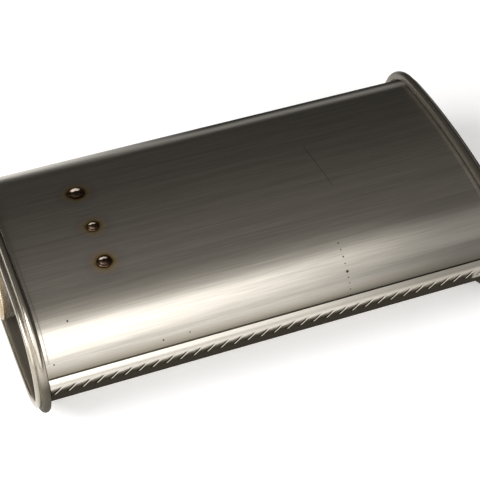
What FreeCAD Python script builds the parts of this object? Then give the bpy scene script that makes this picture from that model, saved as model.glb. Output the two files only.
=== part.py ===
import FreeCAD
import Part
import math
import os

# Oval straight-through exhaust muffler, in millimetres.
# The origin is the middle of the body. X runs along the muffler from the inlet
# to the outlet, Z is up, and the lock seam lies along the -Y side.

Vector = FreeCAD.Vector
X_AXIS = Vector(1, 0, 0)
Z_AXIS = Vector(0, 0, 1)

# Body: an oval of four arcs, wrapped from one sheet
body_length = 356.0         # between the planes where the shell meets its rims
body_width = 206.0
body_height = 97.0
crown = 4.0                 # the broad sides bow out this far beyond the round ends
shell_sheet = 1.2

# Lock seam along the narrow side
seam_above = 3.2            # upper fold, above the middle of the narrow side
seam_below = 6.2            # lower fold, below the middle
seam_layer_gap = 0.15       # air left between the folded layers
seam_hook = 7.5             # length of each hooked edge inside the seam
seam_step_bend = 1.2        # where the sheet steps back to the shell's level
seam_cutback = 6.0          # seam layers are cut away this far from each rim
knurl_pitch = 10.0
knurl_margin = 9.0          # from the end of the seam to the first mark
knurl_width = 1.5
knurl_depth = 0.45
knurl_reach = 8.5           # down the face of the seam, from its upper fold
knurl_slant = 52.0          # degrees from the seam's length

# Rolled rims, with u outward from the plane where the shell meets the rim
cap_sheet = 1.5
roll_gap = 0.1              # between the rolled layers
rim_overhang = 7.1          # of the main ridge, over the shell's surface
ridge_width = 6.6
ridge_setback = 0.1         # the main ridge starts this far back over the shell
lip_overhang = 2.5          # of the smaller outer ridge, over the shell's surface
rim_reach = 10.3            # outermost face of the rim
notch_depth = 0.8           # between the two ridges
notch_bend = 1.0
hook_clearance = 1.1        # dark gap between the rim's edge and the shell
flange_bend = 1.6
recess_depth = 13.3         # end cap's face, behind the rim's outermost face
face_bend = 3.0

# Pipe stubs, which take a 63.5 mm exhaust pipe inside them
pipe_bore = 63.7
pipe_wall = 1.5
pipe_offset = 19.0          # of the pipes' axis, towards +Y
stub_reach = 18.0           # beyond the shell's end plane
stub_depth = 23.0           # inside the shell's end plane
slip_gap = 0.1              # radial, between tubes and the collars that hold them
neck_bend = 5.0
neck_reach = 9.8            # mouth of the neck, beyond the shell's end plane
bead_length = 2.6

# Slotted core, from stub to stub
core_wall = 1.2
core_setback = 8.0          # ends of the core, inside the shell's end planes
slot_length = 22.0
slot_width = 4.0
slots_around = 6
slot_row_pitch = 32.0
tack_length = 2.0
tack_count = 3
tack_angle = 22.0

# Two stamped baffles that carry the core
baffle_setback = 64.0       # middle of the skirt, inside the shell's end plane
baffle_sheet = 1.2
baffle_gap = 0.1            # between the skirt and the shell
skirt_length = 18.0
baffle_bend = 2.0
collar_length = 12.0
collar_bend = 2.0

# Plug welds through the shell into the inlet baffle: Y, button diameter, height
plug_hole = 8.0
plug_welds = {
    "plug_weld_far": (38.5, 13.0, 1.3),
    "plug_weld_middle": (-3.5, 9.6, 1.9),
    "plug_weld_near": (-39.5, 11.2, 2.1),
}

# Packing between the baffles
soft_gap = 0.3              # round the wool and the packing
wool_thickness = 6.0

# Bends that are carried round the oval or the pipes are made of flats
flat_turn = 45.0            # degrees from one flat to the next, at most
sharp_radius = 2.0          # inner sides of bends tighter than this are sharp corners

# What follows from the sizes above
half_length = body_length / 2
end_radius = body_height / 2 - crown
centre_offset = body_width / 2 - end_radius
flat_radius = (
    centre_offset ** 2 + body_height ** 2 / 4 - end_radius ** 2
) / (body_height - 2 * end_radius)
flat_centre = body_height / 2 - flat_radius
blend_angle = math.degrees(math.atan2(-flat_centre, centre_offset))
bore_radius = pipe_bore / 2
pipe_radius = bore_radius + pipe_wall
neck_radius = pipe_radius + slip_gap + cap_sheet
core_bore = pipe_radius + slip_gap
core_radius = core_bore + core_wall
core_half = half_length - core_setback
seam_half = half_length - seam_cutback
baffle_place = half_length - baffle_setback
packing_half = baffle_place - skirt_length / 2 - soft_gap
wool_radius = core_radius + soft_gap + wool_thickness


def polar(centre, radius, degrees):
    """Point at an angle round a centre, in a flat plane."""
    angle = math.radians(degrees)
    return centre + Vector(radius * math.cos(angle), radius * math.sin(angle), 0)


def tangent(degrees):
    """Direction of travel on a counter-clockwise circle at an angle."""
    return polar(Vector(), 1.0, degrees + 90)


def crossing(start, direction, other, other_direction):
    """Point where two lines in a flat plane cross."""
    between = other - start
    scale = between.cross(other_direction).z / direction.cross(other_direction).z
    return start + direction * scale


# A sheet's middle line is a list of tangent steps. Each is ("line", from, to)
# or ("arc", centre, radius, first angle, last angle), with angles in degrees.


def rounded(corners, bends):
    """Steps along straight runs whose corners have the given bend radii."""
    steps = []
    here = corners[0]
    for before, corner, after, bend in zip(corners, corners[1:], corners[2:], bends):
        arriving = (corner - before).normalize()
        leaving = (after - corner).normalize()
        turn = math.degrees(math.atan2(arriving.cross(leaving).z, arriving.dot(leaving)))
        tangent_length = bend * math.tan(math.radians(abs(turn) / 2))
        side = 90 if turn > 0 else -90
        heading = math.degrees(math.atan2(arriving.y, arriving.x))
        arc_start = corner - arriving * tangent_length
        centre = polar(arc_start, bend, heading + side)
        if (arc_start - here).Length > 1e-6:
            steps.append(("line", here, arc_start))
        steps.append(("arc", centre, bend, heading - side, heading - side + turn))
        here = corner + leaving * tangent_length
    if (corners[-1] - here).Length > 1e-6:
        steps.append(("line", here, corners[-1]))
    return steps


def moved_aside(step, distance):
    """The same step, moved to its left by a distance."""
    if step[0] == "line":
        along = (step[2] - step[1]).normalize()
        aside = Vector(-along.y, along.x, 0) * distance
        return ("line", step[1] + aside, step[2] + aside)
    kind, centre, radius, first, last = step
    nearer = distance if last > first else -distance
    return (kind, centre, radius - nearer, first, last)


def ends(step):
    """First and last point of a step."""
    if step[0] == "line":
        return step[1], step[2]
    kind, centre, radius, first, last = step
    return polar(centre, radius, first), polar(centre, radius, last)


def straight_edge(first, last, place):
    return Part.LineSegment(place(first), place(last)).toShape()


def step_edges(step, place, flats):
    """Edges in space for a step of a flat outline, with an arc as flats if asked."""
    first, last = ends(step)
    if step[0] == "line":
        return [straight_edge(first, last, place)]
    kind, centre, radius, first_angle, last_angle = step
    if not flats:
        middle = polar(centre, radius, (first_angle + last_angle) / 2)
        return [Part.Arc(place(first), place(middle), place(last)).toShape()]
    turn = last_angle - first_angle
    if radius < sharp_radius:
        points = [first, crossing(first, tangent(first_angle), last, tangent(last_angle)), last]
    else:
        count = math.ceil(abs(turn) / flat_turn)
        points = [polar(centre, radius, first_angle + turn * i / count) for i in range(count + 1)]
    return [straight_edge(a, b, place) for a, b in zip(points, points[1:])]


def sheet_section(steps, sheet, place, flats=False):
    """Face of a bent sheet whose middle line follows the steps.

    With flats, each bend is a few straight runs and its tight inner side a sharp
    corner, which keeps the long rims light. Without, it is a true arc.
    """
    left = [moved_aside(step, sheet / 2) for step in steps]
    right = [moved_aside(step, -sheet / 2) for step in steps]
    edges = [straight_edge(ends(left[-1])[1], ends(right[-1])[1], place)]
    edges.append(straight_edge(ends(right[0])[0], ends(left[0])[0], place))
    for step in left + right:
        edges += step_edges(step, place, flats)
    return Part.Face(Part.Wire(Part.__sortEdges__(edges)))


def oval_arcs():
    """Centre, radius and angles of the oval's four arcs, seen from +X."""
    return [
        (Vector(centre_offset, 0, 0), end_radius, -blend_angle, blend_angle),
        (Vector(0, flat_centre, 0), flat_radius, blend_angle, 180 - blend_angle),
        (Vector(-centre_offset, 0, 0), end_radius, 180 - blend_angle, 180 + blend_angle),
        (Vector(0, -flat_centre, 0), flat_radius, 180 + blend_angle, 360 - blend_angle),
    ]


def oval_solid(first_x, last_x, grow):
    """Solid oval bar, grown beyond the shell's outer surface."""
    steps = [("arc", centre, radius + grow, a, b) for centre, radius, a, b in oval_arcs()]
    edges = []
    for step in steps:
        edges += step_edges(step, lambda p: Vector(first_x, p.x, p.y), False)
    return Part.Face(Part.Wire(edges)).extrude(X_AXIS * (last_x - first_x))


def oval_sweep(steps, sheet):
    """Bent sheet carried round the oval: steps hold x and height over the shell."""
    pieces = []
    for centre, radius, first, last in oval_arcs():
        section = sheet_section(
            steps, sheet, lambda p: Vector(p.x, p.y + radius, 0), True
        )
        section.rotate(Vector(), X_AXIS, first)
        hub = Vector(0, centre.x, centre.y)
        section.translate(hub)
        pieces.append(section.revolve(hub, X_AXIS, last - first))
    return pieces[0].multiFuse(pieces[1:]).removeSplitter()


def round_sweep(steps, sheet):
    """Bent sheet turned round the pipes' axis: steps hold x and radius."""
    section = sheet_section(
        steps, sheet, lambda p: Vector(p.x, p.y + pipe_offset, 0), True
    )
    return section.revolve(Vector(0, pipe_offset, 0), X_AXIS, 360)


def cylinder(radius, first_x, last_x):
    """Cylinder on the pipes' axis."""
    base = Vector(first_x, pipe_offset, 0)
    return Part.makeCylinder(radius, last_x - first_x, base, X_AXIS)


def tube(outer, inner, first_x, last_x):
    return cylinder(outer, first_x, last_x).cut(cylinder(inner, first_x, last_x))


def other_end(shape):
    """The same piece at the outlet end."""
    return shape.mirror(Vector(), X_AXIS)


def rim_point(u, height):
    """Point of the inlet rim's section: u outward, height over the shell."""
    return Vector(-half_length - u, height, 0)


def leaned(shape, across):
    """A shape made over the middle of the body, moved along the broad side's arc."""
    turn = -math.degrees(math.asin(across / flat_radius))
    shape.rotate(Vector(0, 0, flat_centre), X_AXIS, turn)
    return shape


def joined(*solids):
    return solids[0].multiFuse(list(solids[1:])).removeSplitter()


# The rim's ridge: the cap's hook and outer wall, with the shell's flange between
hook_u = cap_sheet / 2 - ridge_setback
ridge_wall_u = ridge_width - ridge_setback - cap_sheet / 2
flange_u = hook_u + cap_sheet / 2 + roll_gap + shell_sheet / 2


def seam_steps():
    """Middle line of the shell's sheet, from one hooked edge to the other.

    Round the middle of the narrow side the layers are, from inside: the upper
    edge going down, the lower edge's hook, the upper edge's hook, and the
    lower edge on top with its rounded fold showing.
    """
    hub = Vector(-centre_offset, 0, 0)
    pitch = shell_sheet + seam_layer_gap
    level = [end_radius - shell_sheet / 2 + pitch * layer for layer in range(4)]
    upper = 180 - math.degrees(math.asin(seam_above / level[3]))
    lower = 180 + math.degrees(math.asin(seam_below / level[3]))
    hook_angle = math.degrees(seam_hook / level[2])

    # The lower edge wraps round the inner fold, then steps down to the shell
    wrap = 2 * pitch
    corner = polar(hub, level[3], lower) + tangent(lower) * wrap
    joint = lower + math.degrees((wrap + 3 * seam_step_bend) / level[0])
    shell_point = polar(hub, level[0], joint)
    inward = polar(Vector(), -1.0, lower)
    foot = crossing(corner, inward, shell_point, tangent(joint))
    wrap_start = corner - tangent(lower) * wrap
    step_down = rounded([wrap_start, corner, foot, shell_point], [wrap, seam_step_bend])

    far_end, top, near_end, bottom = oval_arcs()
    sheet = -shell_sheet / 2
    steps = [
        ("arc", hub, level[1], upper + hook_angle, upper),
        ("arc", polar(hub, level[2], upper), pitch, upper - 180, upper),
        ("arc", hub, level[3], upper, lower),
    ]
    steps += step_down
    steps.append(("arc", hub, level[0], joint, near_end[3]))
    for centre, radius, first, last in (bottom, far_end, top):
        steps.append(("arc", centre, radius + sheet, first, last))
    steps.append(("arc", hub, level[0], near_end[2], lower))
    steps.append(("arc", polar(hub, level[1], lower), pitch, lower + 180, lower))
    steps.append(("arc", hub, level[2], lower, lower - hook_angle))
    return steps


def knurl_marks():
    """Slanted bars that press the marks into the seam's face."""
    face = end_radius + 3 * (shell_sheet + seam_layer_gap) + centre_offset
    count = int((2 * (seam_half - knurl_margin)) // knurl_pitch) + 1
    bar_length = knurl_reach / math.sin(math.radians(knurl_slant))
    marks = []
    for index in range(count):
        along = (index - (count - 1) / 2) * knurl_pitch
        bar = Part.makeBox(
            bar_length,
            knurl_width,
            knurl_width,
            Vector(-bar_length / 2, -knurl_width / 2, -knurl_depth),
        )
        bar.rotate(Vector(), X_AXIS, 90)
        bar.rotate(Vector(), Vector(0, -1, 0), knurl_slant)
        bar.translate(Vector(along, -face, seam_above - knurl_reach / 2))
        marks.append(bar)
    return Part.makeCompound(marks)


def outer_shell():
    """Wrapped sheet with its lock seam, turned-out flanges and plug-weld holes."""
    section = sheet_section(
        seam_steps(), shell_sheet, lambda p: Vector(-seam_half, p.x, p.y)
    )
    wrapped = section.extrude(X_AXIS * (2 * seam_half)).cut(knurl_marks())
    middle = -shell_sheet / 2
    flange = rounded(
        [
            rim_point(-seam_cutback, middle),
            rim_point(flange_u, middle),
            rim_point(flange_u, rim_overhang - cap_sheet - roll_gap),
        ],
        [flange_bend],
    )
    rim = oval_sweep(flange, shell_sheet)
    shell = joined(wrapped, rim, other_end(rim))
    for across, button, height in plug_welds.values():
        base = Vector(-baffle_place, 0, 0)
        hole = Part.makeCylinder(plug_hole / 2, body_height, base, Z_AXIS)
        shell = shell.cut(leaned(hole, across))
    return shell


def end_cap():
    """Stamped cap at the inlet end, with its neck and its rolled double rim."""
    wall = -(shell_sheet + roll_gap + cap_sheet / 2)
    face = rim_reach - recess_depth
    lip_u = rim_reach - cap_sheet / 2
    lip = lip_overhang - cap_sheet / 2
    lip_bend = (lip - wall) / 2 - roll_gap
    top = rim_overhang - cap_sheet / 2
    ridge_bend = (ridge_wall_u - hook_u) / 2
    plate_edge = wall - face_bend
    rim = rounded(
        [
            rim_point(face, plate_edge - face_bend),
            rim_point(face, wall),
            rim_point(lip_u, wall),
            rim_point(lip_u, lip),
            rim_point(ridge_wall_u, lip - notch_depth),
            rim_point(ridge_wall_u, top),
            rim_point(hook_u, top),
            rim_point(hook_u, hook_clearance),
        ],
        [face_bend, lip_bend, lip_bend, notch_bend, ridge_bend, ridge_bend],
    )
    neck_middle = neck_radius - cap_sheet / 2
    neck = rounded(
        [
            rim_point(face, neck_middle + 2 * neck_bend),
            rim_point(face, neck_middle),
            rim_point(neck_reach, neck_middle),
        ],
        [neck_bend],
    )
    inner_face = -half_length - face + cap_sheet / 2
    plate = oval_solid(inner_face - cap_sheet, inner_face, plate_edge)
    hole = cylinder(neck_middle + neck_bend, inner_face - cap_sheet, inner_face)
    return joined(
        plate.cut(hole), oval_sweep(rim, cap_sheet), round_sweep(neck, cap_sheet)
    )


def fillet_ring(first_x, length, inner, height, degrees=360.0, start=0.0):
    """Weld fillet on a tube, against an end face that stands up by a height."""
    root = Vector(first_x, pipe_offset + inner, 0)
    crest = root + Vector(0, height, 0)
    toe = root + Vector(-length, 0, 0)
    hub = Vector(0, pipe_offset, 0)
    section = Part.Face(Part.makePolygon([toe, root, crest, toe]))
    fillet = section.revolve(hub, X_AXIS, degrees)
    fillet.rotate(hub, X_AXIS, start)
    return fillet


def pipe_stub():
    return tube(pipe_radius, bore_radius, -half_length - stub_reach, stub_depth - half_length)


def neck_weld():
    """Bead that closes the neck's mouth on the pipe stub."""
    return fillet_ring(-half_length - neck_reach, bead_length, pipe_radius, neck_radius - pipe_radius)


def core_tube():
    """Slotted tube that slips over both pipe stubs."""
    core = tube(core_radius, core_bore, -core_half, core_half)
    slot_rows = int(2 * packing_half // slot_row_pitch)
    punches = []
    for row in range(slot_rows):
        along = (row - (slot_rows - 1) / 2) * slot_row_pitch
        corner = Vector(along - slot_length / 2, pipe_offset - slot_width / 2, core_bore / 2)
        for slot in range(slots_around):
            punch = Part.makeBox(slot_length, slot_width, core_radius, corner)
            turn = 360.0 * (slot + row % 2 / 2) / slots_around
            punch.rotate(Vector(0, pipe_offset, 0), X_AXIS, turn)
            punches.append(punch)
    return core.cut(Part.makeCompound(punches))


def core_tacks():
    """Short welds that fix the core to the inlet stub; the outlet end slides."""
    tacks = []
    for index in range(tack_count):
        start = 360.0 * index / tack_count
        tacks.append(
            fillet_ring(-core_half, tack_length, pipe_radius, core_radius - pipe_radius, tack_angle, start)
        )
    return Part.makeCompound(tacks)


def baffle():
    """Stamped plate near the inlet: skirt towards the inlet, collar on the core."""
    skirt = -(shell_sheet + baffle_gap + baffle_sheet / 2)
    plate_x = skirt_length / 2 - baffle_place - baffle_sheet / 2
    rim = rounded(
        [
            Vector(-baffle_place - skirt_length / 2, skirt, 0),
            Vector(plate_x, skirt, 0),
            Vector(plate_x, skirt - 2 * baffle_bend, 0),
        ],
        [baffle_bend],
    )
    collar_middle = core_radius + slip_gap + baffle_sheet / 2
    collar = rounded(
        [
            Vector(plate_x, collar_middle + 2 * collar_bend, 0),
            Vector(plate_x, collar_middle, 0),
            Vector(plate_x - collar_length, collar_middle, 0),
        ],
        [collar_bend],
    )
    front = plate_x - baffle_sheet / 2
    plate = oval_solid(front, front + baffle_sheet, skirt - baffle_bend)
    hole = cylinder(collar_middle + collar_bend, front, front + baffle_sheet)
    return joined(
        plate.cut(hole),
        oval_sweep(rim, baffle_sheet),
        round_sweep(collar, baffle_sheet),
    )


def plug_weld(across, button, height):
    """Weld nugget: a shank through the shell, down to the baffle, and a button."""
    surface = Vector(-baffle_place, 0, body_height / 2)
    depth = shell_sheet + baffle_gap
    crown_cone = Part.makeCone(button / 2, button / 2 - height, height, surface)
    shank = Part.makeCylinder(plug_hole / 2, depth, surface - Z_AXIS * depth)
    return leaned(joined(crown_cone, shank), across)


def steel_wool():
    """Wrap of steel wool round the core, between the baffles."""
    return tube(wool_radius, core_radius + soft_gap, -packing_half, packing_half)


def glass_packing():
    """Glass-fibre packing that fills the shell between the baffles."""
    block = oval_solid(-packing_half, packing_half, -shell_sheet - soft_gap)
    return block.cut(cylinder(wool_radius + soft_gap, -packing_half, packing_half))


def build():
    """Every piece of the muffler, by name."""
    inlet_cap = end_cap()
    inlet_pipe = pipe_stub()
    inlet_weld = neck_weld()
    inlet_baffle = baffle()
    pieces = {
        "outer_shell": outer_shell(),
        "inlet_end_cap": inlet_cap,
        "outlet_end_cap": other_end(inlet_cap),
        "inlet_pipe": inlet_pipe,
        "outlet_pipe": other_end(inlet_pipe),
        "inlet_neck_weld": inlet_weld,
        "outlet_neck_weld": other_end(inlet_weld),
        "inlet_baffle": inlet_baffle,
        "outlet_baffle": other_end(inlet_baffle),
        "core_tube": core_tube(),
        "core_tack_welds": core_tacks(),
        "steel_wool_wrap": steel_wool(),
        "glass_fibre_packing": glass_packing(),
    }
    for name, sizes in plug_welds.items():
        pieces[name] = plug_weld(*sizes)
    return pieces


os.makedirs("parts", exist_ok=True)
for name, shape in build().items():
    shape.exportStep("parts/" + name + ".step")
    print(name, "valid", shape.isValid(), "solids", len(shape.Solids), "mm3", round(shape.Volume))
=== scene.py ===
# %% [markdown]
# # An oval exhaust muffler, dressed round its CAD frame
#
# The solids of this muffler come from a CAD model. They have its sizes, and flats
# where the real sheet metal has bends. This lesson models the pieces that show
# again, with smooth bends, and gives every piece its finish: brushed stainless
# steel, heat-tinted welds and a knurled seam whose face is painted dark, as
# painted shade. Blender counts in metres, so sizes are written as millimetres
# times MM.

# %% Load the frame
import math

import bmesh
import bpy
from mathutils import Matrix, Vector


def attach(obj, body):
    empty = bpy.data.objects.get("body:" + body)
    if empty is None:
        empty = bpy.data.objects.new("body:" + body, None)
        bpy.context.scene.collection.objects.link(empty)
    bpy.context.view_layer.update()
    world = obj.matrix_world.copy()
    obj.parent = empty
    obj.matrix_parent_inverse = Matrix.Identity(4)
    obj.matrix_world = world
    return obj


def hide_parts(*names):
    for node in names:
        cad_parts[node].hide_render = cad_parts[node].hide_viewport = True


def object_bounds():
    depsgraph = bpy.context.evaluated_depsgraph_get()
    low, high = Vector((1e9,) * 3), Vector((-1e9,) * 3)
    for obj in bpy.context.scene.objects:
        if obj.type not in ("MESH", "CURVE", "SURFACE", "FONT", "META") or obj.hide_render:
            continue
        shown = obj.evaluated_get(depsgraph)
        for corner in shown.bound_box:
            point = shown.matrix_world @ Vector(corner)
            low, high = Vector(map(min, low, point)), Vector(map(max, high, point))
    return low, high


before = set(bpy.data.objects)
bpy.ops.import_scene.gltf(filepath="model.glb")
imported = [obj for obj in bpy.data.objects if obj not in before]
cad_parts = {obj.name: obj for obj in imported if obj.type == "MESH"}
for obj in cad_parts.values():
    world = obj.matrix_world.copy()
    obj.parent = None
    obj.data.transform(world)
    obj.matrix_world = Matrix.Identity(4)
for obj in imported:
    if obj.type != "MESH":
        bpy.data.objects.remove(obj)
cad_box = [list(corner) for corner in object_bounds()]
print("CAD nodes:", sorted(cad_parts))

# %% [markdown]
# ## The sizes that the pieces share
#
# The body is an oval of four arcs: two narrow round sides and two broad sides
# that are nearly flat. Every sheet-metal piece follows this oval, so its centres
# and radii are written once. They are the CAD model's own values.

# %% Sizes of the body
MM = 0.001
half_length = 178 * MM
half_width = 103 * MM
half_height = 48.5 * MM
end_radius = 44.5 * MM
shell_sheet = 1.2 * MM
cap_sheet = 1.5 * MM

crown = half_height - end_radius
centre_offset = half_width - end_radius
flat_radius = (centre_offset**2 + half_height**2 - end_radius**2) / (2 * crown)
flat_centre = half_height - flat_radius
blend_angle = math.atan2(-flat_centre, centre_offset)
print("broad sides have a radius of", round(flat_radius / MM), "mm")


# %% [markdown]
# ## Tools for drawing sheet metal
#
# A bent sheet is one line, carried along a path and then given its thickness.
# The line is drawn as by hand: a small plane is merged to one point, the point is
# extruded from corner to corner, and each corner is rounded with the bevel tool.
# Arcs that need an exact centre are drawn by spinning the last point instead.
# Spin turns clockwise for a positive angle, so its sign is changed here once.
# A curve with a bevel could do the same, but it can't follow the oval's four arcs
# exactly, and its section is harder to keep upright.


# %% Draw a line from corner to corner
def only(piece):
    """Selects one object and nothing else."""
    bpy.ops.object.select_all(action="DESELECT")
    piece.select_set(True)
    bpy.context.view_layer.objects.active = piece


def start_line(name, point):
    """A new object in edit mode with one point, which is selected."""
    bpy.ops.object.select_all(action="DESELECT")
    bpy.ops.mesh.primitive_plane_add(size=MM, location=point)
    piece = bpy.context.object
    piece.name = name
    bpy.ops.object.transform_apply()
    bpy.ops.object.mode_set(mode="EDIT")
    bpy.ops.mesh.merge(type="CENTER")
    return piece


def draw_on(here, there):
    """Extrudes the last point of a line to a new place."""
    step = Vector(there) - Vector(here)
    bpy.ops.mesh.extrude_region_move(TRANSFORM_OT_translate={"value": step})


def draw_line(name, corners):
    """A line through all the corners, still in edit mode."""
    piece = start_line(name, corners[0])
    for here, there in zip(corners, corners[1:]):
        draw_on(here, there)
    return piece


# %% Round the corners of a line
def merge_near(distance):
    """Selects the whole mesh and merges points that are closer than a distance."""
    bpy.ops.mesh.select_all(action="SELECT")
    bpy.ops.mesh.remove_doubles(threshold=distance)


def round_corner(piece, before, corner, after, bend, segments):
    """Bevels the point at a corner so that the bend has a real radius."""
    arriving = (Vector(corner) - Vector(before)).normalized()
    leaving = (Vector(after) - Vector(corner)).normalized()
    reach = bend * math.tan(arriving.angle(leaving) / 2)
    bpy.ops.mesh.select_all(action="DESELECT")
    mesh = bmesh.from_edit_mesh(piece.data)
    nearest = min(mesh.verts, key=lambda v: (v.co - Vector(corner)).length)
    nearest.select = True
    bmesh.update_edit_mesh(piece.data)
    bpy.ops.mesh.bevel(
        offset=reach, segments=segments, affect="VERTICES", clamp_overlap=False
    )


def bent_line(name, corners, bends, segments=6):
    """A line with rounded corners: one bend radius for each inner corner."""
    piece = draw_line(name, corners)
    for before, corner, after, bend in zip(corners, corners[1:], corners[2:], bends):
        round_corner(piece, before, corner, after, bend, segments)
    merge_near(0.005 * MM)
    return piece


# %% Carry a line round the oval
def spin_on(centre, angle, steps):
    """Spins the selection about an axis along X, from +Y towards +Z."""
    bpy.ops.mesh.spin(steps=steps, angle=-angle, center=centre, axis=(1, 0, 0))


def sweep_round_oval():
    """Spins the selected line round the four arcs and closes it on itself."""
    for centre, angle, steps in oval_turns:
        spin_on(centre, angle, steps)
    merge_near(0.02 * MM)


half_broad = math.pi / 2 - blend_angle
oval_turns = [
    ((0, 0, flat_centre), half_broad, 12),
    ((0, -centre_offset, 0), 2 * blend_angle, 60),
    ((0, 0, -flat_centre), 2 * half_broad, 24),
    ((0, centre_offset, 0), 2 * blend_angle, 60),
    ((0, 0, flat_centre), half_broad, 12),
]
print("one turn round the oval takes", sum(steps for *_, steps in oval_turns), "steps")


# %% [markdown]
# ## Thickness, and the last steps of every piece
#
# A swept line is a surface with no thickness. Its faces are first made to point
# one way, and the Solidify modifier then gives it the gauge of its sheet, half to
# each side of the line. Edges sharper than 35 degrees stay crisp, all others are
# shaded smooth. Each finished piece rides on the frame, and the CAD solids it
# stands for are hidden.


# %% Thickness and finishing
def solidify(piece, sheet, offset=0.0):
    """Gives a surface the thickness of its sheet and applies it."""
    bpy.ops.mesh.select_all(action="SELECT")
    bpy.ops.mesh.normals_make_consistent(inside=False)
    bpy.ops.object.mode_set(mode="OBJECT")
    only(piece)
    wall = piece.modifiers.new("Sheet", "SOLIDIFY")
    wall.thickness = sheet
    wall.offset = offset
    wall.use_even_offset = True
    bpy.ops.object.modifier_apply(modifier=wall.name)


def finish_piece(piece, slot_name, *nodes):
    """Shades a piece, puts it on the body and hides the CAD nodes it stands for."""
    only(piece)
    bpy.ops.object.shade_smooth_by_angle(angle=math.radians(35))
    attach(piece, "root")
    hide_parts(*nodes)
    print(piece.name, len(piece.data.polygons), "faces")


# %% [markdown]
# ## The shell
#
# The real shell is one sheet, wrapped round and rolled outward at both ends into
# the rims. Its line runs along the top from one rolled flange to the other and is
# then carried round the oval. A cylinder scaled to an oval would be quicker, but
# its sides would be those of an ellipse, and the caps would not fit them. Just
# before each rim the sheet flares a little, where the rolling tool has pulled it
# up, and that shows as a thin light line.


# %% Model the shell
def rim_point(u, height, side=-1):
    """Point of a rim's section at the top of the body: u outward, height over it."""
    return (side * (half_length + u), 0, half_height + height)


shell_middle = -shell_sheet / 2
flange_place = 2.1 * MM
flange_top = 5.4 * MM
flare = 0.12 * MM
flange_side = [
    (flange_place, flange_top),
    (flange_place, shell_middle + flare),
    (-2.4 * MM, shell_middle + flare),
    (-3.4 * MM, shell_middle),
]
shell_corners = [rim_point(u, height) for u, height in flange_side]
shell_corners += [rim_point(u, height, 1) for u, height in reversed(flange_side)]
shell_bends = [1.6 * MM, 1.5 * MM, 1.5 * MM]
shell_bends += list(reversed(shell_bends))

shell = bent_line("muffler_shell", shell_corners, shell_bends)
sweep_round_oval()
solidify(shell, shell_sheet)
print("shell:", len(shell.data.polygons), "faces")

# %% [markdown]
# ## The lock seam
#
# Along the narrow side the sheet's two edges are hooked into each other and
# rolled flat. Four layers lie there: the shell, the two hooked edges, and on top
# the sheet that comes up from below and ends in a rounded fold. Each arc is drawn
# by spinning the last point round its own centre, which is exact, and the line is
# then extruded along the body.

# %% Sizes of the seam
seam_cutback = 6 * MM
rim_clearance = 0.5 * MM
seam_pitch = shell_sheet + 0.15 * MM
seam_level = [end_radius - shell_sheet / 2 + seam_pitch * layer for layer in range(4)]
seam_lower = math.pi + math.asin(6.2 * MM / seam_level[3])
seam_hook = 7.5 * MM / seam_level[2]
tail_length = 1.9 * MM
hook_level = seam_level[1] + 0.2 * MM
hook_bend = 0.65 * MM
roll_radius = 8.5 * MM
roll_angle = math.radians(54)


def round_hub(hub, radius, angle):
    """Point round a centre, in the plane across the body."""
    return hub + Vector((0, radius * math.cos(angle), radius * math.sin(angle)))


def extrude_seam(piece):
    """Extrudes a finished section along the body and gives it its thickness."""
    merge_near(0.001 * MM)
    bpy.ops.mesh.extrude_region_move(TRANSFORM_OT_translate={"value": seam_run})
    solidify(piece, shell_sheet)


seam_run = (2 * half_length - seam_cutback - rim_clearance, 0, 0)
hub = Vector((-half_length + rim_clearance, -centre_offset, 0))
print("seam layers at radii", [round(level / MM, 2) for level in seam_level], "mm")


# %% Model the folded lower edge
roll_hub = round_hub(hub, seam_level[3] - roll_radius, math.pi)
seam = start_line("lock_seam", round_hub(roll_hub, roll_radius, math.pi - roll_angle))
spin_on(roll_hub, roll_angle, steps=12)
spin_on(hub, seam_lower - math.pi, steps=10)
wrap = 2 * seam_pitch
corner_hub = round_hub(hub, seam_level[3] - wrap, seam_lower)
spin_on(corner_hub, math.pi / 2, steps=10)
foot = round_hub(corner_hub, wrap, seam_lower + math.pi / 2)
draw_on(foot, foot + round_hub(Vector(), -tail_length, seam_lower))
extrude_seam(seam)
print("folded edge:", len(seam.data.polygons), "faces")

# %% Model the hooked upper edge
hook = start_line("seam_hook", round_hub(hub, hook_level, seam_lower - seam_hook))
spin_on(hub, seam_hook, steps=6)
spin_on(round_hub(hub, hook_level + hook_bend, seam_lower), -math.pi, steps=12)
spin_on(hub, -seam_hook, steps=6)
extrude_seam(hook)
print("hooked edge:", len(hook.data.polygons), "faces")

# %% [markdown]
# ## The knurl marks
#
# A toothed wheel has rolled the seam shut and left slanted marks, 10.5 mm apart.
# One bar with a sharp edge is modelled, copied along the seam and cut out of it
# with a Boolean modifier, so that each mark has a steep and a shallow wall. Bump
# alone could paint them, but cut marks also break the seam's outline.

# %% Cut the marks
mark_count = 32
mark_pitch = 10.5 * MM
mark_slant = math.radians(44)
first_mark = -172.35 * MM
mark_middle = -1.6 * MM
face_radius = seam_level[3] + shell_sheet / 2
bar_size = (7 * MM, 2.6 * MM, 2.0 * MM)
edge_shift = -2.3 * MM
bar_tilt = math.radians(6)
bar_lift = 0.15 * MM
bpy.ops.object.select_all(action="DESELECT")
bpy.ops.mesh.primitive_cube_add(size=1, location=(0, 0, 0), scale=bar_size)
marks = bpy.context.object
marks.name = "knurl_marks"
bpy.ops.object.transform_apply()
bpy.ops.object.mode_set(mode="EDIT")
bpy.ops.mesh.select_all(action="DESELECT")
mesh = bmesh.from_edit_mesh(marks.data)
for vertex in mesh.verts:
    vertex.select = vertex.co.y > 0 and vertex.co.z > 0
bmesh.update_edit_mesh(marks.data)
bpy.ops.transform.translate(value=(0, edge_shift, 0))
bpy.ops.mesh.select_all(action="SELECT")
for turn, axis in [(math.pi / 2, "X"), (mark_slant, "Y"), (bar_tilt, "X")]:
    bpy.ops.transform.rotate(value=turn, orient_axis=axis, center_override=(0, 0, 0))
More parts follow.
